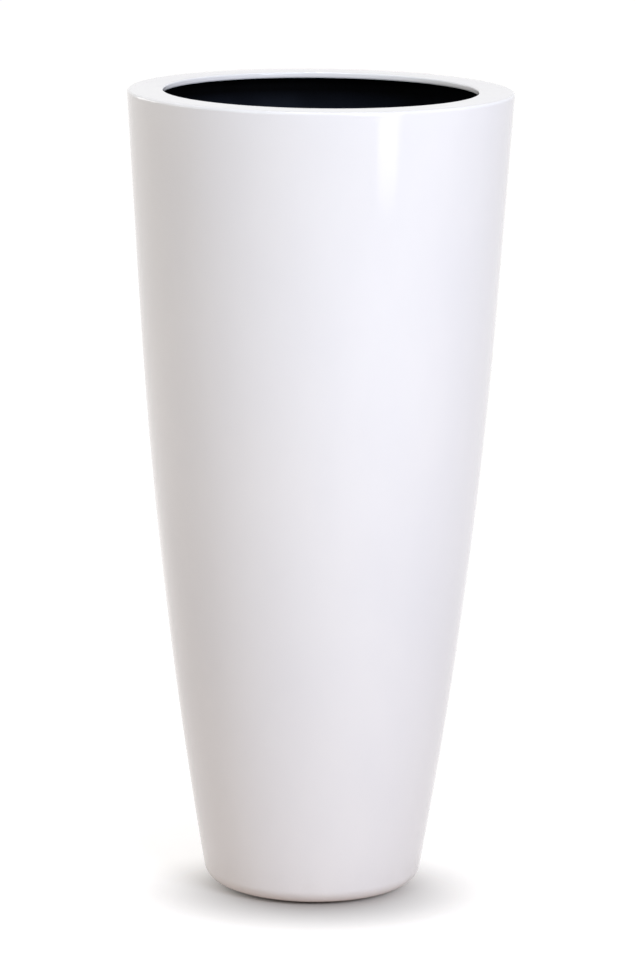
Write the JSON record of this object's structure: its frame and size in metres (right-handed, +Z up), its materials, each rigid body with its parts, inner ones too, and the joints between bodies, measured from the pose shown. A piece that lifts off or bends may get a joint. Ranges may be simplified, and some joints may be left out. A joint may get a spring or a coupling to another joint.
{
  "type": "tall planter",
  "caption": "Tall round tapered floor planter with a turned-in flat rim, a false floor inside and a lift-out inner pot with folding handles.",
  "frame": {"origin": "on the floor, in the middle under the planter", "axes": "+Z up; -Y is the side that faces the camera in the picture, +X is its right"},
  "size_m": [0.3795, 0.3796, 0.8],
  "materials": {
    "white_gelcoat": "high-gloss white lacquer over fibreglass; the inside is coated black",
    "black_plastic": "moulded black polypropylene, fine satin grain",
    "black_rubber": "soft black rubber, dull",
    "zinc_wire": "bright zinc-plated steel wire",
    "grey_plastic": "moulded dark grey plastic, satin"
  },
  "bodies": {
    "planter": {"outer_shell": "white_gelcoat", "foot_pads": "black_rubber"},
    "plug": {"drain_plug": "black_rubber"},
    "shelf": {"shelf": "black_plastic"},
    "pot": {"inner_pot": "black_plastic"},
    "right_handle": {"handle_right": "zinc_wire"},
    "left_handle": {"handle_left": "zinc_wire"},
    "right_grip": {"handle_grip_right": "grey_plastic"},
    "left_grip": {"handle_grip_left": "grey_plastic"}
  },
  "joints": [
    {"name": "plug_pull", "type": "slide", "parent": "planter", "child": "plug", "axis": [0, 0, 1], "range_m": [0, 0.25]},
    {"name": "shelf_lift", "type": "slide", "parent": "planter", "child": "shelf", "axis": [0, 0, 1], "range_m": [0, 0.49]},
    {"name": "pot_lift", "type": "slide", "parent": "shelf", "child": "pot", "axis": [0, 0, 1], "range_m": [0, 0.47]},
    {"name": "right_handle_swing", "type": "hinge", "parent": "pot", "child": "right_handle", "pos_m": [0.10603, 0, 0.69634], "axis": [0, 1, 0], "range_deg": [-8, 205]},
    {"name": "left_handle_swing", "type": "hinge", "parent": "pot", "child": "left_handle", "pos_m": [-0.10603, 0, 0.69634], "axis": [0, -1, 0], "range_deg": [-8, 205]},
    {"name": "right_grip_spin", "type": "hinge", "parent": "right_handle", "child": "right_grip", "pos_m": [0.10603, 0, 0.65034], "axis": [0, 1, 0], "continuous": true},
    {"name": "left_grip_spin", "type": "hinge", "parent": "left_handle", "child": "left_grip", "pos_m": [-0.10603, 0, 0.65034], "axis": [0, -1, 0], "continuous": true}
  ]
}
